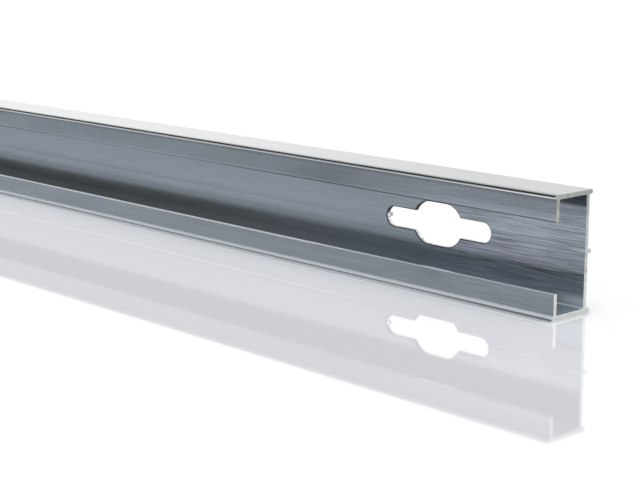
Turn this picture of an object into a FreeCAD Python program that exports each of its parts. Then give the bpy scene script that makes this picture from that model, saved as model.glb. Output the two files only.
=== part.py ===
import FreeCAD, Part
import math
import os
import Sketcher

# Shower extension profile: one aluminium extrusion, a lipped C channel with three wall-side ribs.
# X runs along the length, -Y is the open side, +Y the wall side, and Z is up from the lower flange.
# All sizes are in millimetres.

# Sizes
SIZES = {
    "length": 2000,
    "height": 40,
    "depth": 19.2,
    "wall": 1.5,
    "nose_reach": 1,
    "nose_wall": 1.4,
    "rib_reach": 1.6,
    "rib_wall": 1.5,
    "lip_height": 8.6,
    "lip_edge_radius": 0.2,
    "corner_radius": 0.4,
    "slot_count": 4,
    "slot_from_end": 63.5,
    "slot_width": 7,
    "slot_length": 48.5,
    "opening_width": 15,
    "opening_length": 22.5,
}

doc = FreeCAD.newDocument("shower_extension_profile")
sheet = doc.addObject("Spreadsheet::Sheet", "sizes")
for row, (name, value) in enumerate(SIZES.items(), start=1):
    sheet.set(f"A{row}", name)
    sheet.set(f"B{row}", str(value))
    sheet.setAlias(f"B{row}", name)
doc.recompute()

body = doc.addObject("PartDesign::Body", "extension_profile")
body.Label = "extension_profile"

X_AXIS = -1
ORIGIN = (-1, 1)
START, END, CENTRE = 1, 2, 3
UP = FreeCAD.Vector(0, 0, 1)


def origin_feature(role):
    """Return the plane or axis of the body's own origin that has this role."""
    return next(item for item in body.Origin.OriginFeatures if item.Role == role)


def new_sketch(name, role):
    """Return an empty sketch of the body, lying flat on one of its origin planes."""
    sketch = body.newObject("Sketcher::SketchObject", name)
    sketch.AttachmentSupport = [(origin_feature(role), "")]
    sketch.MapMode = "FlatFace"
    return sketch


def tie(sketch, kind, *ends):
    """Add a constraint that has no size of its own."""
    sketch.addConstraint(Sketcher.Constraint(kind, *ends))


def size(sketch, name, kind, ends, value, expression):
    """Add a named dimension that follows the size sheet."""
    index = sketch.addConstraint(Sketcher.Constraint(kind, *ends, value))
    sketch.renameConstraint(index, name)
    sketch.setExpression(f"Constraints.{name}", expression)


def arc(centre, radius, first, last):
    """Return the arc that runs anticlockwise from the point first to the point last."""
    begin = math.atan2(first.y - centre.y, first.x - centre.x)
    finish = math.atan2(last.y - centre.y, last.x - centre.x)
    return Part.ArcOfCircle(Part.Circle(centre, UP, radius), begin, finish)


def check(feature):
    """Stop when a feature came out broken or without a shape."""
    broken = "Invalid" in feature.State or "Error" in feature.State
    if broken or feature.Shape.isNull() or not feature.Shape.isValid():
        raise RuntimeError(f"{feature.Label} is broken")


# Section: places across the depth and up the height
height = SIZES["height"]
wall = SIZES["wall"]
front = -SIZES["depth"] / 2
back = SIZES["depth"] / 2
lip_outer = front + SIZES["nose_reach"]
lip_inner = lip_outer + wall
web_outer = back - SIZES["rib_reach"]
web_inner = web_outer - wall
ceiling = height - wall
nose_wall = SIZES["nose_wall"]
lip_top = SIZES["lip_height"]
rib_low = (height - SIZES["rib_wall"]) / 2
rib_high = (height + SIZES["rib_wall"]) / 2
edge = SIZES["lip_edge_radius"]
corner = SIZES["corner_radius"]

# The outline is walked with the metal on the left. Each side lies flat at a height or stands
# upright at a depth, and meets the next side sharply, in a rounding or round a half-circle tip.
SIDES = [
    ("bottom", "flat", 0, "tip", back),
    ("foot_back", "flat", wall, "sharp", 0),
    ("web_outer_low", "upright", web_outer, "sharp", 0),
    ("rib_low", "flat", rib_low, "tip", back),
    ("rib_high", "flat", rib_high, "sharp", 0),
    ("web_outer_high", "upright", web_outer, "sharp", 0),
    ("head_back", "flat", ceiling, "tip", back),
    ("top", "flat", height, "tip", front),
    ("head_front", "flat", height - nose_wall, "sharp", 0),
    ("head_lip_outer", "upright", lip_outer, "round", edge),
    ("head_lip_end", "flat", height - lip_top, "round", edge),
    ("head_lip_inner", "upright", lip_inner, "round", corner),
    ("head_inside", "flat", ceiling, "round", corner),
    ("web_inner", "upright", web_inner, "round", corner),
    ("foot_inside", "flat", wall, "round", corner),
    ("foot_lip_inner", "upright", lip_inner, "round", edge),
    ("foot_lip_end", "flat", lip_top, "round", edge),
    ("foot_lip_outer", "upright", lip_outer, "sharp", 0),
    ("foot_front", "flat", nose_wall, "tip", front),
]


def draw_outline(sketch, sides):
    """Draw the sides and their joints; return the line and the joint arc of each side by name."""
    names = [side[0] for side in sides]
    following = dict(zip(names, names[1:] + names[:1]))
    begin, finish, trim, tips = {}, {}, {}, set()
    for (name, lie, place, joint, value), (_, _, next_place, _, _) in zip(sides, sides[1:] + sides[:1]):
        after = following[name]
        if joint == "tip":
            finish[name] = FreeCAD.Vector(value, place, 0)
            begin[after] = FreeCAD.Vector(value, next_place, 0)
            trim[name] = abs(next_place - place) / 2
            tips.add(name)
        else:
            across, up = (next_place, place) if lie == "flat" else (place, next_place)
            finish[name] = begin[after] = FreeCAD.Vector(across, up, 0)
            trim[name] = value
    heading = {name: (finish[name] - begin[name]).normalize() for name in names}
    before = {after: name for name, after in following.items()}
    first = {name: begin[name] + heading[name] * trim[before[name]] for name in names}
    last = {name: finish[name] - heading[name] * trim[name] for name in names}
    lines = {name: sketch.addGeometry(Part.LineSegment(first[name], last[name])) for name in names}
    arcs = {}
    for name, lie, _, joint, _ in sides:
        after = following[name]
        tie(sketch, "Horizontal" if lie == "flat" else "Vertical", lines[name])
        if joint == "sharp":
            tie(sketch, "Coincident", lines[name], END, lines[after], START)
            continue
        if name in tips:
            centre = (last[name] + first[after]) / 2
        else:
            centre = last[name] + heading[after] * trim[name]
        if heading[name].cross(centre - last[name]).z > 0:
            arcs[name] = sketch.addGeometry(arc(centre, trim[name], last[name], first[after]))
            near, far = START, END
        else:
            arcs[name] = sketch.addGeometry(arc(centre, trim[name], first[after], last[name]))
            near, far = END, START
        tie(sketch, "Tangent", lines[name], END, arcs[name], near)
        tie(sketch, "Tangent", lines[after], START, arcs[name], far)
    return lines, arcs


section = new_sketch("section", "YZ_Plane")
line, joint = draw_outline(section, SIDES)

# Heights, from the bottom face and from the top face
tie(section, "PointOnObject", line["bottom"], START, X_AXIS)
size(section, "height", "DistanceY", (line["bottom"], END, line["top"], START), height, "sizes.height")
size(section, "foot_wall", "DistanceY", (line["bottom"], END, line["foot_back"], START), wall, "sizes.wall")
size(section, "head_wall", "DistanceY", (line["head_back"], END, line["top"], START), wall, "sizes.wall")
size(
    section, "foot_nose_wall", "DistanceY",
    (line["bottom"], START, line["foot_front"], END), nose_wall, "sizes.nose_wall",
)
size(
    section, "head_nose_wall", "DistanceY",
    (line["head_front"], START, line["top"], END), nose_wall, "sizes.nose_wall",
)
for flange in ("foot", "head"):
    tie(section, "PointOnObject", line[f"{flange}_inside"], START, line[f"{flange}_back"])
size(
    section, "foot_lip_height", "DistanceY",
    (line["bottom"], START, line["foot_lip_end"], END), lip_top, "sizes.lip_height",
)
size(
    section, "head_lip_height", "DistanceY",
    (line["head_lip_end"], START, line["top"], END), lip_top, "sizes.lip_height",
)
size(
    section, "rib_wall", "DistanceY",
    (line["rib_low"], END, line["rib_high"], START), SIZES["rib_wall"], "sizes.rib_wall",
)
size(
    section, "rib_height", "DistanceY",
    (line["bottom"], END, line["rib_low"], END), rib_low, "(sizes.height - sizes.rib_wall) / 2",
)

# Depths, from the middle of the depth out to the tips and in to the lips and the web
size(
    section, "front_tip", "DistanceX",
    (joint["foot_front"], CENTRE, *ORIGIN), nose_wall / 2 - front,
    "(sizes.depth - sizes.nose_wall) / 2",
)
size(
    section, "back_tip", "DistanceX",
    (*ORIGIN, joint["bottom"], CENTRE), back - wall / 2, "(sizes.depth - sizes.wall) / 2",
)
size(
    section, "rib_tip", "DistanceX",
    (*ORIGIN, joint["rib_low"], CENTRE), back - SIZES["rib_wall"] / 2,
    "(sizes.depth - sizes.rib_wall) / 2",
)
tie(section, "Vertical", joint["foot_front"], CENTRE, joint["top"], CENTRE)
tie(section, "Vertical", joint["bottom"], CENTRE, joint["head_back"], CENTRE)
size(
    section, "nose_reach", "DistanceX",
    (joint["foot_front"], CENTRE, line["foot_lip_outer"], END),
    SIZES["nose_reach"] - nose_wall / 2, "sizes.nose_reach - sizes.nose_wall / 2",
)
size(
    section, "rib_reach", "DistanceX",
    (line["web_outer_low"], START, joint["bottom"], CENTRE),
    SIZES["rib_reach"] - wall / 2, "sizes.rib_reach - sizes.wall / 2",
)
size(
    section, "lip_wall", "DistanceX",
    (line["foot_lip_outer"], START, line["foot_lip_inner"], END), wall, "sizes.wall",
)
size(
    section, "web_wall", "DistanceX",
    (line["web_inner"], END, line["web_outer_low"], START), wall, "sizes.wall",
)
tie(section, "Vertical", line["web_outer_low"], START, line["web_outer_high"], START)
for side in ("lip_outer", "lip_inner"):
    tie(section, "Vertical", line[f"foot_{side}"], START, line[f"head_{side}"], START)

# Roundings: four lip edges and four inside corners
LIP_EDGES = ("foot_lip_inner", "foot_lip_end", "head_lip_outer", "head_lip_end")
CORNERS = ("head_lip_inner", "head_inside", "web_inner", "foot_inside")
for title, group, radius in (("lip_edge_radius", LIP_EDGES, edge), ("corner_radius", CORNERS, corner)):
    size(section, title, "Radius", (joint[group[0]],), radius, f"sizes.{title}")
    for name in group[1:]:
        tie(section, "Equal", joint[group[0]], joint[name])

doc.recompute()
if section.solve() != 0 or not section.FullyConstrained:
    raise RuntimeError("the section is not fully constrained")

# Extrusion, half of its length to each side of the section
extrusion = body.newObject("PartDesign::Pad", "extrusion")
extrusion.Profile = section
extrusion.SideType = "Symmetric"
extrusion.setExpression("Length", "sizes.length")
doc.recompute()
check(extrusion)


def keyhole_part(name, length, width):
    """Cut a round-ended slot through the web and the middle rib, at the -X end of the profile."""
    sketch = new_sketch(f"{name}_outline", "XZ_Plane")
    half = (SIZES[length] - SIZES[width]) / 2
    radius = SIZES[width] / 2
    middle = SIZES["slot_from_end"] - SIZES["length"] / 2
    left = FreeCAD.Vector(middle - half, height / 2, 0)
    right = FreeCAD.Vector(middle + half, height / 2, 0)
    rise = FreeCAD.Vector(0, radius, 0)
    low = sketch.addGeometry(Part.LineSegment(left - rise, right - rise))
    end = sketch.addGeometry(arc(right, radius, right - rise, right + rise))
    high = sketch.addGeometry(Part.LineSegment(right + rise, left + rise))
    start = sketch.addGeometry(arc(left, radius, left + rise, left - rise))
    for first, second in ((low, end), (end, high), (high, start), (start, low)):
        tie(sketch, "Tangent", first, END, second, START)
    tie(sketch, "Horizontal", low)
    tie(sketch, "Horizontal", high)
    size(sketch, "width", "DistanceY", (low, END, high, START), SIZES[width], f"sizes.{width}")
    size(
        sketch, "span", "DistanceX", (start, CENTRE, end, CENTRE),
        2 * half, f"sizes.{length} - sizes.{width}",
    )
    size(
        sketch, "from_middle", "DistanceX", (end, CENTRE, *ORIGIN), -middle - half,
        f"sizes.length / 2 - sizes.slot_from_end - (sizes.{length} - sizes.{width}) / 2",
    )
    size(sketch, "up", "DistanceY", (*ORIGIN, end, CENTRE), height / 2, "sizes.height / 2")
    doc.recompute()
    if sketch.solve() != 0 or not sketch.FullyConstrained:
        raise RuntimeError(f"{name} is not fully constrained")
    pocket = body.newObject("PartDesign::Pocket", name)
    pocket.Profile = sketch
    pocket.setExpression("Length", "sizes.depth")
    doc.recompute()
    check(pocket)
    return pocket


# Double-ended keyhole: a narrow slot with a wide opening at its middle
narrow = keyhole_part("narrow_slot", "slot_length", "slot_width")
wide = keyhole_part("wide_opening", "opening_length", "opening_width")

# Row of keyholes along the profile
row_of_slots = body.newObject("PartDesign::LinearPattern", "row_of_slots")
row_of_slots.Originals = [narrow, wide]
row_of_slots.Direction = (origin_feature("X_Axis"), [""])
row_of_slots.setExpression("Length", "sizes.length - 2 * sizes.slot_from_end")
row_of_slots.setExpression("Occurrences", "sizes.slot_count")
body.Tip = row_of_slots
doc.recompute()

for feature in doc.Objects:
    if "Invalid" in feature.State or "Error" in feature.State:
        raise RuntimeError(f"{feature.Label} is broken")
check(body)

# Each cut takes metal away, and the row takes as much at every slot
one_slot = extrusion.Shape.Volume - wide.Shape.Volume
all_slots = extrusion.Shape.Volume - body.Shape.Volume
if narrow.Shape.Volume >= extrusion.Shape.Volume or wide.Shape.Volume >= narrow.Shape.Volume:
    raise RuntimeError("a slot cuts nothing")
if abs(all_slots - SIZES["slot_count"] * one_slot) > 0.001 * all_slots:
    raise RuntimeError("the row of slots is not complete")
if len(body.Shape.Solids) != 1:
    raise RuntimeError("the profile is not one solid")

os.makedirs("parts", exist_ok=True)
body.Shape.exportStep("parts/extension_profile.step")
box = body.Shape.BoundBox
print(f"box {box.XLength:.3f} x {box.YLength:.3f} x {box.ZLength:.3f}, volume {body.Shape.Volume:.1f}")
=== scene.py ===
import math
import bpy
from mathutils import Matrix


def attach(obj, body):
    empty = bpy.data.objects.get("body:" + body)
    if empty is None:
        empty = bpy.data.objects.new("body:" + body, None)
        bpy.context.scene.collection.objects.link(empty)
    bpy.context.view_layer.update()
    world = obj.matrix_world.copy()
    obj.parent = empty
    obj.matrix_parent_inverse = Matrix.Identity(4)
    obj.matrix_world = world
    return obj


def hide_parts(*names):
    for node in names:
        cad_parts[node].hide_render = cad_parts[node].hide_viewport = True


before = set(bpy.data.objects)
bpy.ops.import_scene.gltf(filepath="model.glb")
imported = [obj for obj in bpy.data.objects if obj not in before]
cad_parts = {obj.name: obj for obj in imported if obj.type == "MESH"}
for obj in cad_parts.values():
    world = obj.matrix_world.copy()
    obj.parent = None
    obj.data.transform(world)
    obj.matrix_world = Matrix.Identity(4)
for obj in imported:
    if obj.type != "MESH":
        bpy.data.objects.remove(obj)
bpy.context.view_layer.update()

from types import SimpleNamespace

import bmesh
import bpy
from mathutils import Vector

scene = bpy.context.scene

# Sizes of the profile, in metres, the same as in the CAD model
MM = 0.001
LENGTH = 2000 * MM
HEIGHT = 40 * MM
DEPTH = 19.2 * MM
WALL = 1.5 * MM
NOSE_REACH = 1.0 * MM
NOSE_WALL = 1.4 * MM
RIB_REACH = 1.6 * MM
RIB_WALL = 1.5 * MM
LIP_HEIGHT = 8.6 * MM
LIP_EDGE_RADIUS = 0.2 * MM
CORNER_RADIUS = 0.4 * MM
SLOT_COUNT = 4
SLOT_FROM_END = 63.5 * MM
SLOT_WIDTH = 7 * MM
SLOT_LENGTH = 48.5 * MM
OPENING_WIDTH = 15 * MM
OPENING_LENGTH = 22.5 * MM

# Places that follow from the sizes
NEAR = LENGTH / 2
FRONT = -DEPTH / 2
BACK = DEPTH / 2
LIP_OUTER = FRONT + NOSE_REACH
LIP_INNER = LIP_OUTER + WALL
WEB_OUTER = BACK - RIB_REACH
WEB_INNER = WEB_OUTER - WALL
CEILING = HEIGHT - WALL
RIB_LOW = (HEIGHT - RIB_WALL) / 2
RIB_HIGH = (HEIGHT + RIB_WALL) / 2
UPPER_LIP_EDGE = HEIGHT - LIP_HEIGHT
UPPER_NOSE_UNDER = HEIGHT - NOSE_WALL
SLOT_PITCH = (LENGTH - 2 * SLOT_FROM_END) / (SLOT_COUNT - 1)
SLOT_PLACES = [SLOT_FROM_END - LENGTH / 2 + number * SLOT_PITCH for number in range(SLOT_COUNT)]

# Finest relief, and how far a punch starts before the web and ends past the ribs
SAW_EDGE = 0.06 * MM
PUNCH_ROLL = 0.36 * MM
PUNCH_BEFORE = 1.0 * MM
PUNCH_PAST = 2.0 * MM

# Fineness of the curves, in steps, and the sharpest bend that is still shaded smooth
TIP_STEPS = 16
ROUND_STEPS = 6
ARC_STEPS = 28
ROLL_STEPS = 5
SMOOTH_BEND = math.radians(32)

# How much of a face's normal points along one direction before the face counts as facing it
FACING_END = 0.7
SQUARE_TO_END = 0.9
FACING_FRONT = 0.995
FACING_UP = 0.99

# Where the centre of the saw blade passed, and the die lines on the inner face of the web, by the
# heights of their sides
BLADE_SHIFT = (0, 110 * MM, -160 * MM)
LONG_LINE = (18.0 * MM, 18.3 * MM)
END_LINE = (19.35 * MM, 19.65 * MM)

# How softly the narrow bands on the skin begin and end
SOFT = 0.05 * MM

# Camera, from the photographed edges; its place is measured from the near end of the profile,
# at the outer face of the lips and on the floor
FOCAL_PIXELS = 1553.7
PICTURE_WIDTH = 640
SENSOR_WIDTH = 36
AZIMUTH = math.radians(46.8725)
PITCH = math.radians(11.5639)
NEAR_END = Vector((NEAR, LIP_OUTER, 0))
EYE_FROM_NEAR_END = Vector((293.973, -375.293, 122.410)) * MM

# Floor: half its width, its mirror share, its matt tone, its glow, and how far its painted contact
# shadows reach
FLOOR_HALF = 8
FLOOR_SHINE = 0.53
FLOOR_MATT = 0.35
FLOOR_GLOW = 0.96
CONTACT = 24 * MM
CLOSE_CONTACT = 8 * MM

# Light of the studio: spans of degrees over which the room changes, and its linear colours
HORIZON = (-27, -21)
DARK_FROM = (12, 31)
CEILING_LIGHT = (115, 80)
SIDE_LIGHT = (-0.60, -0.86, 0.915, 1.12)
FRONT_RISE = (-8, 10)
FRONT_COLOUR = (0.30, 0.345, 0.396, 1)
RAISED_COLOUR = (0.47, 0.51, 0.56, 1)
DARK_COLOUR = (0.04, 0.045, 0.05, 1)

# Colours of the skin, linear
WHITE = (1, 1, 1, 1)
SILVER_DARK = (0.44, 0.455, 0.47, 1)
SILVER_LIGHT = (0.72, 0.73, 0.74, 1)
GREENISH = (0.54, 0.60, 0.61, 1)
PINKISH = (0.62, 0.58, 0.66, 1)
WORN_EDGE = (0.78, 0.78, 0.78, 1)
# Painted highlight on the middle of the web, and bluish painted reflections low in the channel
WEB_PAINTED_LIGHT = (0.86, 0.87, 0.88, 1)
CHANNEL_LOW_REFLECTION = (0.48, 0.58, 0.67, 1)
CHANNEL_LOW_FAR_REFLECTION = (0.42, 0.475, 0.50, 1)
# Painted shade under the top of the channel and along the upper lip's free edge, painted light above that
# edge
CHANNEL_TOP_PAINTED_SHADE = (0.14, 0.16, 0.18, 1)
LIP_EDGE_PAINTED_SHADE = (0.04, 0.045, 0.05, 1)
LIP_LIT = (0.84, 0.85, 0.86, 1)
# Painted shade in the nose's corner, at its root and on the front strip of the top
NOSE_CORNER_PAINTED_SHADE = (0.10, 0.11, 0.12, 1)
NOSE_ROOT_PAINTED_SHADE = (0.17, 0.19, 0.21, 1)
TOP_PAINTED_SHADE = (0.02, 0.022, 0.025, 1)
# Matt colours with painted contact shade and painted light on the foot nose, and painted light on the
# lower lip's top
FOOT_PAINTED_SHADE = (0.10, 0.125, 0.145, 1)
FOOT_PAINTED_LIGHT = (0.72, 0.77, 0.81, 1)
FOOT_SOLE_PAINTED_LIGHT = (0.86, 0.92, 0.96, 1)
LIP_TOP_PAINTED_LIGHT = (0.66, 0.69, 0.73, 1)
LIP_TOP_FAR_PAINTED_LIGHT = (0.86, 0.89, 0.92, 1)

# Colours of the sawn ends and of the punched walls
SAWN_DARK = (0.42, 0.43, 0.42, 1)
SAWN_LIGHT = (0.86, 0.88, 0.86, 1)
# Painted shade high up and at the foot of the sawn ends, painted light low down on them
SAWN_TOP_PAINTED_SHADE = (0.28, 0.28, 0.265, 1)
SAWN_LOW_PAINTED_LIGHT = (0.98, 0.99, 0.97, 1)
SAWN_FOOT_PAINTED_SHADE = (0.42, 0.425, 0.41, 1)
# Painted shade on punched walls that face down, painted light on those that face up
PUNCHED_PAINTED_SHADE = (0.03, 0.032, 0.035, 1)
PUNCHED_PAINTED_LIGHT = (0.95, 0.96, 0.97, 1)
PUNCHED_SPECK = (0.10, 0.10, 0.11, 1)
RIB_CUT = (0.50, 0.51, 0.52, 1)
# Painted dark rim of the keyholes
KEYHOLE_RIM_PAINTED_SHADE = (0.07, 0.075, 0.08, 1)

# Tints of the floor's glow: bluish in the painted shadow close to the profile, and clear away from it
GLOW_IN_PAINTED_SHADOW = (0.90, 1.0, 1.08, 1)
GLOW_CLEAR = (1, 1.012, 1.060, 1)

# Outline of the section, walked with the metal on the left. Each side lies flat at a height or
# stands upright at a depth, and meets the next one sharply, in a rounding or round a half-circle tip.
SIDES = [
    ("flat", 0, "tip", BACK),
    ("flat", WALL, "sharp", 0),
    ("upright", WEB_OUTER, "sharp", 0),
    ("flat", RIB_LOW, "tip", BACK),
    ("flat", RIB_HIGH, "sharp", 0),
    ("upright", WEB_OUTER, "sharp", 0),
    ("flat", CEILING, "tip", BACK),
    ("flat", HEIGHT, "tip", FRONT),
    ("flat", UPPER_NOSE_UNDER, "sharp", 0),
    ("upright", LIP_OUTER, "round", LIP_EDGE_RADIUS),
    ("flat", UPPER_LIP_EDGE, "round", LIP_EDGE_RADIUS),
    ("upright", LIP_INNER, "round", CORNER_RADIUS),
    ("flat", CEILING, "round", CORNER_RADIUS),
    ("upright", WEB_INNER, "round", CORNER_RADIUS),
    ("flat", WALL, "round", CORNER_RADIUS),
    ("upright", LIP_INNER, "round", LIP_EDGE_RADIUS),
    ("flat", LIP_HEIGHT, "round", LIP_EDGE_RADIUS),
    ("upright", LIP_OUTER, "sharp", 0),
    ("flat", NOSE_WALL, "tip", FRONT),
]


def place_camera():
    """Stand the camera where the photographed edges put it."""
    data = bpy.data.cameras.new("camera")
    data.sensor_width = SENSOR_WIDTH
    data.lens = FOCAL_PIXELS / PICTURE_WIDTH * data.sensor_width
    data.clip_start = 0.01
    data.clip_end = 100
    camera = bpy.data.objects.new("camera", data)
    scene.collection.objects.link(camera)
    toward_eye = Vector((
        math.sin(AZIMUTH) * math.cos(PITCH),
        -math.cos(AZIMUTH) * math.cos(PITCH),
        math.sin(PITCH),
    ))
    camera.location = NEAR_END + EYE_FROM_NEAR_END
    camera.rotation_mode = "QUATERNION"
    camera.rotation_quaternion = (-toward_eye).to_track_quat("-Z", "Y")
    scene.camera = camera


def section_corners():
    """Return the corners of the section as (point, joint, radius); a tip has two of them."""
    corners = []
    for (lie, place, joint, value), (_, next_place, _, _) in zip(SIDES, SIDES[1:] + SIDES[:1]):
        if joint == "tip":
            corners.append((Vector((value, place)), "tip", 0))
            corners.append((Vector((value, next_place)), "end of tip", 0))
        elif lie == "flat":
            corners.append((Vector((next_place, place)), joint, value))
        else:
            corners.append((Vector((place, next_place)), joint, value))
    return corners


def tip_points(before, first, second):
    """Return the half circle from first to second that carries on from the side before it."""
    radius = (second - first).length / 2
    inward = (before - first).normalized() * radius
    centre = (first + second) / 2 + inward
    start = first + inward - centre
    turn = math.pi if start.cross(-inward) > 0 else -math.pi
    points = []
    for step in range(TIP_STEPS + 1):
        angle = turn * step / TIP_STEPS
        points.append(centre + Vector((
            start.x * math.cos(angle) - start.y * math.sin(angle),
            start.x * math.sin(angle) + start.y * math.cos(angle),
        )))
    return points


def round_points(before, corner, after, radius):
    """Return the quarter circle that rounds a square corner."""
    arrive = (corner - before).normalized()
    leave = (after - corner).normalized()
    centre = corner + (leave - arrive) * radius
    points = []
    for step in range(ROUND_STEPS + 1):
        angle = math.pi / 2 * step / ROUND_STEPS
        points.append(centre - leave * radius * math.cos(angle) + arrive * radius * math.sin(angle))
    return points


def section_points():
    """Return the points of the whole section as (y, z)."""
    corners = section_corners()
    points = []
    for index, (corner, joint, radius) in enumerate(corners):
        before = corners[index - 1][0]
        after = corners[(index + 1) % len(corners)][0]
        if joint == "tip":
            points.extend(tip_points(before, corner, after))
        elif joint == "sharp":
            points.append(corner)
        elif joint == "round":
            points.extend(round_points(before, corner, after, radius))
    return points


def inset(points, amount):
    """Move each point of a closed outline into the metal, square to its two sides."""
    moved = []
    for index, point in enumerate(points):
        arrive = (point - points[index - 1]).normalized()
        leave = (points[(index + 1) % len(points)] - point).normalized()
        left_1 = Vector((-arrive.y, arrive.x))
        left_2 = Vector((-leave.y, leave.x))
        moved.append(point + (left_1 + left_2) * (amount / (1 + left_1.dot(left_2))))
    return moved


def prism(name, rings):
    """Make a closed solid from rings of points, each ring a list of vectors in space."""
    shape = bmesh.new()
    rows = [[shape.verts.new(point) for point in ring] for ring in rings]
    for row, after in zip(rows, rows[1:]):
        for index in range(len(row)):
            following = (index + 1) % len(row)
            shape.faces.new((row[index], row[following], after[following], after[index]))
    shape.faces.new(list(reversed(rows[0])))
    shape.faces.new(rows[-1])
    bmesh.ops.recalc_face_normals(shape, faces=shape.faces)
    mesh = bpy.data.meshes.new(name)
    shape.to_mesh(mesh)
    shape.free()
    piece = bpy.data.objects.new(name, mesh)
    scene.collection.objects.link(piece)
    return piece


def extrusion():
    """Make the profile without its keyholes, with the finest bevel round its sawn ends."""
    outline = section_points()
    sawn = inset(outline, SAW_EDGE)
    rings = []
    for along, ring in (
        (-NEAR, sawn),
        (-NEAR + SAW_EDGE, outline),
        (NEAR - SAW_EDGE, outline),
        (NEAR, sawn),
    ):
        rings.append([Vector((along, point.x, point.y)) for point in ring])
    return prism("extension_profile_body", rings)


def keyhole_points(grow):
    """Return the outline of the double-ended keyhole about its own centre, as (x, z)."""
    small = SLOT_WIDTH / 2 + grow
    large = OPENING_WIDTH / 2 + grow
    small_centre = (SLOT_LENGTH - SLOT_WIDTH) / 2
    large_centre = (OPENING_LENGTH - OPENING_WIDTH) / 2
    meet = math.asin(small / large)
    quarter = []
    for step in range(ARC_STEPS // 2 + 1):
        angle = math.pi / 2 * step / (ARC_STEPS // 2)
        quarter.append((small_centre + small * math.cos(angle), small * math.sin(angle)))
    for step in range(ARC_STEPS + 1):
        angle = meet + (math.pi / 2 - meet) * step / ARC_STEPS
        quarter.append((large_centre + large * math.cos(angle), large * math.sin(angle)))
    half = quarter + [(-x, z) for x, z in reversed(quarter)]
    return half + [(-x, -z) for x, z in half[1:-1]]


def punch(centre):
    """Make the punch of one keyhole, which widens in a quarter circle at the front of the web."""
    levels = [(WEB_INNER - PUNCH_BEFORE, PUNCH_ROLL)]
    for step in range(ROLL_STEPS + 1):
        angle = math.pi / 2 * step / ROLL_STEPS
        depth = WEB_INNER + PUNCH_ROLL * (1 - math.cos(angle))
        levels.append((depth, PUNCH_ROLL * (1 - math.sin(angle))))
    levels.append((BACK + PUNCH_PAST, 0))
    rings = []
    for depth, grow in levels:
        rings.append([Vector((centre + x, depth, HEIGHT / 2 + z)) for x, z in keyhole_points(grow)])
    return prism("punch", rings)


def cut_keyholes(profile):
    """Cut the keyholes through the web and the middle rib, one after the other."""
    for place in SLOT_PLACES:
        tool = punch(place)
        cut = profile.modifiers.new("slot", "BOOLEAN")
        cut.operation = "DIFFERENCE"
        cut.solver = "EXACT"
        cut.object = tool
        depsgraph = bpy.context.evaluated_depsgraph_get()
        result = bpy.data.meshes.new_from_object(profile.evaluated_get(depsgraph))
        profile.modifiers.clear()
        profile.data = result
        bpy.data.objects.remove(tool)


def lay_coordinates(mesh):
    """Unwrap with U along the profile, so that the grain has a direction on every face."""
    layer = mesh.uv_layers.new(name="grain")
    for face in mesh.polygons:
        sideways = abs(face.normal.y) > abs(face.normal.z)
        for loop in face.loop_indices:
            place = mesh.vertices[mesh.loops[loop].vertex_index].co
            if abs(face.normal.x) > FACING_END:
                layer.data[loop].uv = (place.y, place.z)
            else:
                layer.data[loop].uv = (place.x, place.z if sideways else place.y)


def shade_smooth(profile):
    """Shade the curves smooth and keep the flats flat and the edges sharp."""
    for face in profile.data.polygons:
        face.use_smooth = True
    profile.data.set_sharp_from_angle(angle=SMOOTH_BEND)
    weighted = profile.modifiers.new("normals", "WEIGHTED_NORMAL")
    weighted.keep_sharp = True
    weighted.weight = 50


class Nodes:
    """Short names for building a shader network."""

    def __init__(self, owner):
        owner.use_nodes = True
        self.tree = owner.node_tree
        self.tree.nodes.clear()

    def add(self, kind, inputs=(), **settings):
        """Add a node, with its settings and its inputs; an input is a value or another output."""
        node = self.tree.nodes.new(f"ShaderNode{kind}")
        for name, value in settings.items():
            setattr(node, name, value)
        for name, value in dict(inputs).items():
            if isinstance(value, bpy.types.NodeSocket):
                self.tree.links.new(value, node.inputs[name])
            else:
                node.inputs[name].default_value = value
        return node

    def maths(self, operation, first, second=0.0):
        """Combine two values."""
        return self.add("Math", {0: first, 1: second}, operation=operation).outputs[0]

    def ramp(self, value, low, high, to_low=0.0, to_high=1.0):
        """Map a value smoothly from one range to another."""
        inputs = {"Value": value, "From Min": low, "From Max": high}
        inputs.update({"To Min": to_low, "To Max": to_high})
        return self.add("MapRange", inputs, interpolation_type="SMOOTHSTEP").outputs["Result"]

    def product(self, *values):
        """Multiply several values."""
        result = values[0]
        for value in values[1:]:
            result = self.maths("MULTIPLY", result, value)
        return result

    def total(self, *values):
        """Add several values."""
        result = values[0]
        for value in values[1:]:
            result = self.maths("ADD", result, value)
        return result

    def band(self, value, low, high, soft):
        """Return 1 between two values and 0 outside, with soft sides."""
        rise = self.ramp(value, low - soft, low + soft)
        return self.product(rise, self.ramp(value, high + soft, high - soft))

    def blend(self, factor, first, second):
        """Mix two colours; 6 and 7 are the colour inputs of the node."""
        inputs = {"Factor": factor, 6: first, 7: second}
        return self.add("Mix", inputs, data_type="RGBA").outputs[2]

    def noise(self, places, stretch, detail=2.0, roughness=0.5, offset=0.0):
        """Noise in real places, squeezed by a number of cells per metre along each axis."""
        inputs = {"Vector": places, "Scale": stretch, "Location": (offset, offset, offset)}
        moved = self.add("Mapping", inputs).outputs[0]
        inputs = {"Vector": moved, "Scale": 1.0, "Detail": detail, "Roughness": roughness}
        return self.add("TexNoise", inputs).outputs["Fac"]

    def places(self):
        """Places in the object's own frame."""
        return self.add("TexCoord").outputs["Object"]

    def parts(self, vector):
        """Split a vector into X, Y and Z."""
        return self.add("SeparateXYZ", {0: vector}).outputs

    def output(self, kind, value):
        """Close the network with its output node."""
        self.add(f"Output{kind}", {"Surface": value})


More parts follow.
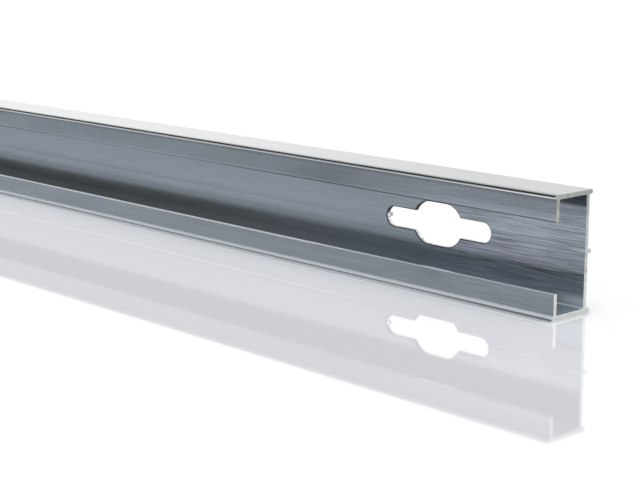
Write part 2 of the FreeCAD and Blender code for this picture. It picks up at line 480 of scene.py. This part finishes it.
def edge_mask(nodes, radius, low, high):
    """Return 1 on the edges and 0 on the flats, from how far a rounding would turn the surface."""
    true = nodes.add("NewGeometry").outputs["Normal"]
    turned = nodes.add("Bevel", {"Radius": radius}, samples=4).outputs[0]
    along = nodes.add("VectorMath", {0: true, 1: turned}, operation="DOT_PRODUCT").outputs["Value"]
    return nodes.ramp(along, high, low)


def skin_places(nodes):
    """Where a point lies on the section and along the profile: its place, and masks from 0 to 1."""
    at = SimpleNamespace()
    at.point = nodes.places()
    split = nodes.parts(at.point)
    at.x, at.y, at.z = split["X"], split["Y"], split["Z"]
    at.from_end = nodes.maths("SUBTRACT", NEAR, at.x)
    facing = nodes.parts(nodes.add("NewGeometry").outputs["Normal"])
    at.upward = nodes.ramp(facing["Z"], 0.15, 0.55)
    at.near = nodes.ramp(at.x, NEAR - 110 * MM, NEAR - 40 * MM, 0.12, 1.0)
    at.low_down = nodes.ramp(at.z, 14 * MM, 9 * MM)
    at.front_side = nodes.ramp(at.y, LIP_OUTER + 0.45 * MM, LIP_OUTER + 0.25 * MM)
    at.ahead = nodes.ramp(at.y, LIP_OUTER - 0.02 * MM, LIP_OUTER - 0.06 * MM)
    at.on_web = nodes.band(at.y, WEB_INNER - 0.1 * MM, WEB_INNER + 0.05 * MM, 0.02 * MM)
    at.inside = nodes.product(
        nodes.band(at.y, LIP_INNER - 0.05 * MM, WEB_INNER + 0.05 * MM, 0.02 * MM),
        nodes.band(at.z, WALL - 0.1 * MM, CEILING + 0.1 * MM, SOFT),
    )
    return at


def skin_grain(nodes, point):
    """Noise of the skin: long die lines, fine lines, short streaks, scratches and slow clouds."""
    return SimpleNamespace(
        die_lines=nodes.noise(point, (1.2, 2600, 2600), 3.0, 0.6),
        fine_lines=nodes.noise(point, (6, 9000, 9000), 2.0, 0.5, 3.7),
        streaks=nodes.noise(point, (52, 2600, 2600), 2.5, 0.6, 11.3),
        scratches=nodes.noise(point, (80, 4400, 4400), 1.5, 0.5, 17.9),
        clouds=nodes.noise(point, (18, 110, 110), 3.0, 0.55, 5.1),
        tints=nodes.noise(point, (30, 260, 260), 2.0, 0.5, 14.6),
    )


def skin_colour(nodes, at, grain):
    """Cloudy silver with a little wear on the edges, faintly tinted inside near the end."""
    shade = nodes.total(
        0.5,
        nodes.ramp(grain.clouds, 0.3, 0.7, -0.10, 0.10),
        nodes.ramp(grain.die_lines, 0.3, 0.7, -0.08, 0.08),
    )
    colour = nodes.blend(shade, SILVER_DARK, SILVER_LIGHT)
    green_or_pink = nodes.ramp(grain.tints, 0.35, 0.65)
    tinted = nodes.blend(green_or_pink, GREENISH, PINKISH)
    above = nodes.maths("SUBTRACT", 1.0, at.low_down)
    colour = nodes.blend(nodes.product(at.inside, at.near, above, 0.55), colour, tinted)
    wear = edge_mask(nodes, 0.25 * MM, 0.90, 0.995)
    return nodes.blend(nodes.product(wear, 0.25), colour, WORN_EDGE)


def channel_colour(nodes, at, colour):
    """The web has painted light at its middle, a bluish painted reflection low down and painted shade
    right under the top.
    """
    # Painted highlight on the middle of the web
    middle_light = nodes.band(at.z, 18 * MM, 30 * MM, 3 * MM)
    colour = nodes.blend(nodes.product(at.on_web, middle_light, 0.62), colour, WEB_PAINTED_LIGHT)
    # Painted reflection: a bluish tint low in the channel, changing away from the end
    far = nodes.ramp(at.from_end, 60 * MM, 250 * MM)
    low_painted_reflection = nodes.blend(far, CHANNEL_LOW_REFLECTION, CHANNEL_LOW_FAR_REFLECTION)
    colour = nodes.blend(nodes.product(at.inside, at.low_down, 0.8), colour, low_painted_reflection)
    # Painted shade right under the top of the channel
    high_painted_shade = nodes.ramp(at.z, 34.35 * MM, 34.65 * MM)
    return nodes.blend(nodes.product(at.inside, high_painted_shade, 0.70), colour, CHANNEL_TOP_PAINTED_SHADE)


def lip_colour(nodes, at, colour):
    """The upper lip has painted shade along its free edge and painted light above it; the foot of the
    lower lip has a painted highlight.
    """
    # Painted shade along the upper lip's free edge
    free_edge_shade = nodes.product(
        at.front_side,
        nodes.band(at.z, UPPER_LIP_EDGE - 0.1 * MM, UPPER_LIP_EDGE + 0.30 * MM, SOFT),
        nodes.total(
            nodes.ramp(at.from_end, 100 * MM, 250 * MM, 0.97, 0.50),
            nodes.ramp(at.from_end, 240 * MM, 320 * MM, 0.0, 0.42),
        ),
    )
    colour = nodes.blend(free_edge_shade, colour, LIP_EDGE_PAINTED_SHADE)
    # Painted light on the upper lip just above its edge, near the end
    lit_lip = nodes.product(
        at.front_side,
        nodes.ramp(at.x, NEAR - 70 * MM, NEAR - 20 * MM),
        nodes.band(at.z, UPPER_LIP_EDGE + 0.4 * MM, UPPER_LIP_EDGE + 2.6 * MM, 0.3 * MM),
    )
    colour = nodes.blend(nodes.product(lit_lip, 0.55), colour, LIP_LIT)
    # Painted highlight at the foot of the lower lip
    foot_corner_highlight = nodes.band(at.z, NOSE_WALL, NOSE_WALL + 0.25 * MM, SOFT)
    foot_corner_highlight = nodes.product(at.front_side, foot_corner_highlight)
    return nodes.blend(nodes.product(foot_corner_highlight, 0.9), colour, WHITE)


def nose_colour(nodes, at, colour):
    """The upper nose has a painted highlight below, and painted shade at its root and in the corner that
    it makes.
    """
    # Painted shade in the corner under the upper nose
    corner = nodes.product(
        nodes.ramp(at.z, UPPER_NOSE_UNDER - 1.4 * MM, UPPER_NOSE_UNDER - 0.1 * MM),
        nodes.band(at.y, LIP_OUTER - 0.02 * MM, LIP_OUTER + 0.1 * MM, 0.01 * MM),
    )
    colour = nodes.blend(nodes.product(corner, 0.30), colour, NOSE_CORNER_PAINTED_SHADE)
    # Painted shade at the root of the upper nose
    root_top = UPPER_NOSE_UNDER + 0.36 * MM
    root = nodes.band(at.z, UPPER_NOSE_UNDER - 0.1 * MM, root_top, 0.04 * MM)
    colour = nodes.blend(nodes.product(at.ahead, root, 0.9), colour, NOSE_ROOT_PAINTED_SHADE)
    # Painted highlight under the upper nose, strongest near the end
    under_nose_highlight = nodes.band(at.z, root_top, HEIGHT - 0.50 * NOSE_WALL, SOFT)
    shining = nodes.ramp(at.x, NEAR - 60 * MM, NEAR - 5 * MM, 0.05, 0.75)
    return nodes.blend(nodes.product(at.ahead, under_nose_highlight, shining), colour, WHITE)


def top_colour(nodes, at, colour):
    """The top has a painted shade toward its front edge, with a ragged border."""
    # Painted shade on the front strip of the top
    ragged = nodes.noise(at.point, (45, 200, 200), 2.0, 0.5, 7.9)
    forward = nodes.total(at.y, nodes.ramp(ragged, 0.2, 0.8, -0.5 * MM, 0.5 * MM))
    top_painted_shade = nodes.product(
        nodes.ramp(forward, FRONT + 3.8 * MM, FRONT - 0.4 * MM),
        at.upward,
        nodes.ramp(at.z, HEIGHT / 2, HEIGHT * 0.9),
        0.88,
    )
    return nodes.blend(top_painted_shade, colour, TOP_PAINTED_SHADE)


def painted_light_and_shade(nodes, at):
    """Painted light and shade along the skin, as slow changes of brightness: darker is below 0 and
    lighter above.
    """
    # Painted light and shade: darker past the slot, lighter beside it, on the far lip, on a lip strip and
    # low on the web
    past_slot = nodes.product(
        nodes.band(at.from_end, 85 * MM, 120 * MM, 22 * MM),
        nodes.band(at.z, 24.5 * MM, UPPER_NOSE_UNDER - 0.15 * MM, 2.5 * MM),
        nodes.total(nodes.product(at.front_side, -0.22), nodes.product(at.on_web, -0.09)),
    )
    beside_slot = nodes.product(
        nodes.band(at.from_end, 14 * MM, 42 * MM, 6 * MM),
        nodes.band(at.z, 21.3 * MM, 29 * MM, 0.8 * MM),
        at.on_web,
        0.15,
    )
    far_lip = nodes.product(
        at.front_side,
        nodes.ramp(at.z, 12 * MM, 9 * MM),
        nodes.ramp(at.from_end, 120 * MM, 250 * MM),
        0.10,
    )
    lip_strip = nodes.product(
        at.front_side,
        nodes.band(at.z, UPPER_LIP_EDGE + 0.35 * MM, UPPER_LIP_EDGE + 1.2 * MM, 0.2 * MM),
        0.14,
    )
    lower_web = nodes.product(
        nodes.band(at.z, 15.2 * MM, 17.8 * MM, 0.8 * MM),
        nodes.ramp(at.from_end, 50 * MM, 120 * MM),
        at.on_web,
        0.17,
    )
    band_top = nodes.product(
        nodes.band(at.z, 10.6 * MM, 12.7 * MM, 0.6 * MM),
        nodes.ramp(at.from_end, 70 * MM, 20 * MM),
        at.on_web,
        -0.28,
    )
    return nodes.total(past_slot, beside_slot, far_lip, lip_strip, lower_web, band_top)


def die_marks(nodes, at):
    """Two dark die lines: one down the whole web, seen away from the end, and one beside the slot."""
    long_line = nodes.product(
        nodes.band(at.z, *LONG_LINE, 0.08 * MM),
        nodes.ramp(at.from_end, 100 * MM, 200 * MM),
        at.on_web,
        -0.13,
    )
    end_line = nodes.product(
        nodes.band(at.z, *END_LINE, 0.08 * MM),
        nodes.ramp(at.from_end, 50 * MM, 30 * MM),
        at.on_web,
        -0.20,
    )
    return nodes.total(long_line, end_line)


def brightness(nodes, at, grain):
    """Factor on the skin's colour: streaks, strongest on the web near the end, and painted light and
    shade.
    """
    drawn = nodes.total(
        nodes.ramp(grain.streaks, 0.28, 0.72, -0.20, 0.20),
        nodes.ramp(grain.scratches, 0.3, 0.7, -0.26, 0.26),
    )
    where = nodes.product(
        at.near,
        nodes.ramp(at.on_web, 0.0, 1.0, 0.30, 1.0),
        nodes.ramp(at.low_down, 0.0, 1.0, 1.0, 1.3),
    )
    return nodes.total(1.0, nodes.product(drawn, where), painted_light_and_shade(nodes, at), die_marks(nodes, at))


def painted_channel_light(nodes, at):
    """Matt share that paints light low in the channel and beside the near end, and a painted pale line
    where the web stands on the flange.
    """
    # Painted light: a pale line at the web's foot, light low on the web and in the channel, and beside
    # the end
    foot_line = nodes.product(
        nodes.band(at.y, WEB_INNER - CORNER_RADIUS, WEB_INNER + 0.05 * MM, SOFT),
        nodes.band(at.z, WALL - 0.05 * MM, WALL + CORNER_RADIUS, SOFT),
        nodes.ramp(at.from_end, 60 * MM, 25 * MM),
        0.45,
    )
    low_on_web = nodes.product(at.on_web, nodes.ramp(at.z, 8.5 * MM, 5.5 * MM), 0.08)
    low_inside = nodes.product(
        at.inside,
        at.low_down,
        nodes.ramp(at.x, NEAR - 300 * MM, NEAR, 0.03, 0.08),
    )
    beside_end = nodes.product(
        at.on_web,
        nodes.ramp(at.x, NEAR - 16 * MM, NEAR - 1 * MM),
        nodes.band(at.z, 2.0 * MM, 5.0 * MM, 1.5 * MM),
        0.45,
    )
    return nodes.total(foot_line, low_on_web, low_inside, beside_end)


def matt_share(nodes, at):
    """How matt the skin is, where the matt part paints light and shade: the foot nose, the top of the
    lower lip and low in the channel.
    """
    # The matt parts of the foot nose and of the lower lip's top carry painted light and shade
    below_lip = nodes.ramp(at.z, NOSE_WALL + 0.06 * MM, NOSE_WALL + 0.02 * MM)
    foot_nose = nodes.product(below_lip, at.ahead, 0.88)
    lip_level = nodes.total(at.z, nodes.ramp(at.from_end, 60 * MM, 130 * MM, -0.27 * MM, 0.0))
    lip_top = nodes.product(
        nodes.band(lip_level, LIP_HEIGHT - 0.40 * MM, LIP_HEIGHT + 0.1 * MM, SOFT),
        nodes.band(at.y, LIP_OUTER - 0.05 * MM, LIP_OUTER + 0.55 * MM, 0.10 * MM),
        0.92,
    )
    return nodes.maths("MINIMUM", nodes.total(foot_nose, lip_top, painted_channel_light(nodes, at)), 0.95)


def matt_colour(nodes, at):
    """Colour of the matt places: painted contact shade low on the foot nose, painted light above it and
    at its sole, painted light on the lip's top.
    """
    # Painted contact shade low on the foot nose, painted light above it and at its sole
    foot_tone = nodes.ramp(at.z, 0.45 * MM, 0.95 * MM)
    foot = nodes.blend(foot_tone, FOOT_PAINTED_SHADE, FOOT_PAINTED_LIGHT)
    sole = nodes.product(
        nodes.ramp(at.from_end, 15 * MM, 60 * MM),
        nodes.ramp(at.z, 0.50 * MM, 0.22 * MM),
    )
    foot = nodes.blend(sole, foot, FOOT_SOLE_PAINTED_LIGHT)
    # Painted light on the top of the lower lip
    away = nodes.ramp(at.from_end, 50 * MM, 120 * MM)
    lip = nodes.blend(away, LIP_TOP_PAINTED_LIGHT, LIP_TOP_FAR_PAINTED_LIGHT)
    return nodes.blend(nodes.ramp(at.z, 2 * MM, 8 * MM), foot, lip)


def satin_aluminium():
    """The skin: satin silver with lines along the profile, with painted light and shade in places, some
    of it through a matt part.
    """
    material = bpy.data.materials.new("satin_aluminium")
    nodes = Nodes(material)
    at = skin_places(nodes)
    grain = skin_grain(nodes, at.point)
    colour = skin_colour(nodes, at, grain)
    for change in (channel_colour, lip_colour, nose_colour, top_colour):
        colour = change(nodes, at, colour)
    scaled = {0: colour, "Scale": brightness(nodes, at, grain)}
    colour = nodes.add("VectorMath", scaled, operation="SCALE").outputs[0]
    rough = nodes.total(
        nodes.ramp(grain.streaks, 0.2, 0.8, 0.12, 0.19),
        nodes.ramp(grain.clouds, 0.2, 0.8, -0.02, 0.02),
        nodes.product(at.on_web, nodes.band(at.z, 9 * MM, 14 * MM, 2 * MM), 0.07),
    )
    relief = nodes.total(grain.die_lines, nodes.product(grain.fine_lines, 0.4))
    bump = nodes.add("Bump", {"Height": relief, "Strength": 0.4, "Distance": 0.003 * MM}).outputs[0]
    tangent = nodes.add("Tangent", direction_type="UV_MAP", uv_map="grain").outputs[0]
    skin = nodes.add("BsdfPrincipled", {
        "Metallic": 0.90,
        "Base Color": colour,
        "Roughness": rough,
        "Anisotropic": 0.3,
        "Normal": bump,
        "Tangent": tangent,
    }).outputs[0]
    matt = nodes.add("BsdfDiffuse", {"Color": matt_colour(nodes, at), "Normal": bump}).outputs[0]
    surface = nodes.add("MixShader", {0: matt_share(nodes, at), 1: skin, 2: matt}).outputs[0]
    nodes.output("Material", surface)
    return material


def sawn_aluminium():
    """Sawn ends: rough, a little warmer, with the arcs of the saw blade, painted shade high up and at the
    foot, and painted light low down.
    """
    material = bpy.data.materials.new("sawn_aluminium")
    nodes = Nodes(material)
    places = nodes.places()
    blade = nodes.add("Mapping", {"Vector": places, "Location": BLADE_SHIFT}).outputs[0]
    flat = nodes.add("Mapping", {"Vector": blade, "Scale": (0, 1, 1)}).outputs[0]
    waves = {"Vector": flat, "Scale": 900.0, "Distortion": 1.5, "Detail": 2.0, "Detail Scale": 3.0}
    wave = nodes.add("TexWave", waves, wave_type="RINGS", rings_direction="SPHERICAL")
    arcs = wave.outputs["Fac"]
    patches = nodes.noise(places, (300, 420, 420), 3.0, 0.6, 2.2)
    grit = nodes.noise(places, (4000, 4000, 4000), 2.0, 0.6, 8.1)
    shade = nodes.total(
        nodes.ramp(patches, 0.3, 0.7, 0.05, 0.65),
        nodes.ramp(arcs, 0.0, 1.0, -0.1, 0.2),
    )
    colour = nodes.blend(shade, SAWN_DARK, SAWN_LIGHT)
    height = nodes.parts(places)["Z"]
    # Painted shade high up on the sawn end
    high_painted_shade = nodes.ramp(height, 26 * MM, 38 * MM, 0.0, 0.5)
    colour = nodes.blend(high_painted_shade, colour, SAWN_TOP_PAINTED_SHADE)
    # Painted light low down on the sawn end
    low_down = nodes.ramp(height, 14 * MM, 5 * MM, 0.0, 0.5)
    colour = nodes.blend(low_down, colour, SAWN_LOW_PAINTED_LIGHT)
    # Painted shade at the foot of the sawn end
    foot = nodes.total(
        nodes.ramp(height, 6 * MM, 3 * MM, 0.0, 0.12),
        nodes.ramp(height, 1.1 * MM, 0.8 * MM, 0.0, 0.22),
    )
    colour = nodes.blend(foot, colour, SAWN_FOOT_PAINTED_SHADE)
    relief = nodes.total(arcs, nodes.product(grit, 1.5))
    bump = nodes.add("Bump", {"Height": relief, "Strength": 0.6, "Distance": 0.01 * MM}).outputs[0]
    metal = nodes.add("BsdfPrincipled", {
        "Metallic": 1.0,
        "Base Color": colour,
        "Roughness": nodes.ramp(patches, 0.2, 0.8, 0.34, 0.52),
        "Normal": bump,
    }).outputs[0]
    nodes.output("Material", metal)
    return material


def punched_aluminium():
    """Punched walls of the keyholes: painted shade above, painted light below, torn, with a painted dark
    rim in front.
    """
    material = bpy.data.materials.new("punched_aluminium")
    nodes = Nodes(material)
    places = nodes.places()
    facing = nodes.parts(nodes.add("NewGeometry").outputs["Normal"])
    tears = nodes.noise(places, (1500, 700, 1500), 3.0, 0.65, 6.4)
    # Painted shade on walls that face down, painted light on walls that face up, broken by the tears
    level = nodes.total(facing["Z"], nodes.ramp(tears, 0.3, 0.7, -0.35, 0.35))
    colour = nodes.blend(nodes.ramp(level, -0.45, 0.05), PUNCHED_PAINTED_SHADE, PUNCHED_PAINTED_LIGHT)
    specks = nodes.noise(places, (2100, 620, 2100), 1.5, 0.5, 9.2)
    colour = nodes.blend(nodes.ramp(specks, 0.52, 0.66, 0.0, 0.85), colour, PUNCHED_SPECK)
    depth = nodes.parts(places)["Y"]
    in_rib = nodes.ramp(depth, WEB_OUTER, WEB_OUTER + 0.05 * MM)
    colour = nodes.blend(in_rib, colour, RIB_CUT)
    # Painted dark rim at the front of the keyhole
    rim = nodes.ramp(depth, WEB_INNER + 1.05 * PUNCH_ROLL, WEB_INNER + 0.85 * PUNCH_ROLL, 0.0, 0.9)
    colour = nodes.blend(rim, colour, KEYHOLE_RIM_PAINTED_SHADE)
    bump = nodes.add("Bump", {"Height": tears, "Strength": 0.8, "Distance": 0.02 * MM}).outputs[0]
    wall = nodes.add("BsdfPrincipled", {
        "Metallic": 0.85,
        "Base Color": colour,
        "Roughness": nodes.ramp(tears, 0.2, 0.8, 0.3, 0.5),
        "Normal": bump,
    }).outputs[0]
    nodes.output("Material", wall)
    return material


def is_punched(middle, normal):
    """Say whether a face is a wall or the rim of a keyhole, and not a side of the middle rib."""
    from_slot = min(abs(middle.x - place) for place in SLOT_PLACES)
    from_middle = abs(middle.z - HEIGHT / 2)
    within = from_slot < SLOT_LENGTH / 2 + PUNCH_ROLL and from_middle < OPENING_WIDTH / 2 + PUNCH_ROLL
    behind = middle.y > WEB_INNER + 0.002 * MM and abs(normal.y) < FACING_FRONT
    rib_side = abs(normal.z) > FACING_UP and abs(from_middle - RIB_WALL / 2) < 0.01 * MM
    return within and behind and not rib_side


def dress(profile):
    """Give each face its material: sawn at the ends, punched in the keyholes, else the skin."""
    materials = profile.data.materials
    materials.clear()
    for material in (satin_aluminium(), sawn_aluminium(), punched_aluminium()):
        materials.append(material)
    skin, sawn, punched = range(3)
    for face in profile.data.polygons:
        at_end = abs(face.center.x) > NEAR - SAW_EDGE / 2
        if at_end and abs(face.normal.x) > SQUARE_TO_END:
            face.material_index = sawn
        elif is_punched(face.center, face.normal):
            face.material_index = punched
        else:
            face.material_index = skin


def pale_floor():
    """Pale glossy table: it glows for the camera only, with a dimmer and bluer painted shadow near the
    profile.
    """
    material = bpy.data.materials.new("pale_floor")
    nodes = Nodes(material)
    tone = (FLOOR_MATT, FLOOR_MATT, FLOOR_MATT, 1)
    matt = nodes.add("BsdfDiffuse", {"Color": tone}).outputs[0]
    seen = nodes.add("LightPath").outputs["Is Camera Ray"]
    # Painted shadow: ambient occlusion dims the glow and turns it bluer near the profile
    open_air = nodes.add("AmbientOcclusion", {"Distance": CONTACT}, samples=8).outputs["AO"]
    close_air = nodes.add("AmbientOcclusion", {"Distance": CLOSE_CONTACT}, samples=8).outputs["AO"]
    strength = nodes.product(
        nodes.ramp(seen, 0.0, 1.0, 0.1, FLOOR_GLOW),
        nodes.ramp(open_air, 0.40, 0.97, 0.58, 1.0),
        nodes.ramp(close_air, 0.66, 0.985, 0.77, 1.0),
    )
    clear = nodes.ramp(close_air, 0.70, 1.0)
    tint = nodes.blend(clear, GLOW_IN_PAINTED_SHADOW, GLOW_CLEAR)
    glow = nodes.add("Emission", {"Color": tint, "Strength": strength}).outputs[0]
    white = nodes.add("AddShader", {0: matt, 1: glow}).outputs[0]
    gloss = nodes.add("BsdfGlossy", {"Roughness": 0.04}).outputs[0]
    mirrored = nodes.add("MixShader", {0: FLOOR_SHINE, 1: white, 2: gloss}).outputs[0]
    nodes.output("Material", mirrored)
    return material


def lay_floor():
    """Make the floor, which shiny surfaces look through to the studio."""
    mesh = bpy.data.meshes.new("floor")
    corners = [(-FLOOR_HALF, -FLOOR_HALF, 0), (FLOOR_HALF, -FLOOR_HALF, 0)]
    corners += [(FLOOR_HALF, FLOOR_HALF, 0), (-FLOOR_HALF, FLOOR_HALF, 0)]
    mesh.from_pydata(corners, [], [(0, 1, 2, 3)])
    mesh.materials.append(pale_floor())
    floor = bpy.data.objects.new("floor", mesh)
    scene.collection.objects.link(floor)
    floor.visible_glossy = False
    return floor


def light_studio():
    """White light all round. In shine the metal also meets the dim front of the room, by the angle
    about the length of the profile: 0 is level to the front and 90 straight up."""
    scene.world = bpy.data.worlds.new("studio")
    nodes = Nodes(scene.world)
    split = nodes.parts(nodes.add("TexCoord").outputs["Generated"])
    forward = nodes.product(split["Y"], -1.0)
    angle = nodes.product(nodes.maths("ARCTAN2", split["Z"], forward), math.degrees(1))
    below_ceiling = nodes.ramp(angle, *CEILING_LIGHT)
    dim = nodes.product(nodes.ramp(angle, *HORIZON), below_ceiling)
    dark = nodes.product(nodes.ramp(angle, *DARK_FROM), below_ceiling)
    side = nodes.ramp(split["X"], *SIDE_LIGHT)
    bright = nodes.add("CombineColor", {0: side, 1: side, 2: side}).outputs[0]
    front = nodes.blend(nodes.ramp(angle, *FRONT_RISE), FRONT_COLOUR, RAISED_COLOUR)
    room = nodes.blend(dim, bright, front)
    room = nodes.blend(dark, room, DARK_COLOUR)
    shine = nodes.add("LightPath").outputs["Is Glossy Ray"]
    light = nodes.blend(shine, WHITE, room)
    sky = nodes.add("Background", {"Color": light, "Strength": 1.0}).outputs[0]
    nodes.output("World", sky)


place_camera()

profile = extrusion()
cut_keyholes(profile)
lay_coordinates(profile.data)
shade_smooth(profile)
dress(profile)
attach(profile, "root")
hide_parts("extension_profile")

floor = lay_floor()

light_studio()
scene.view_settings.view_transform = "Standard"
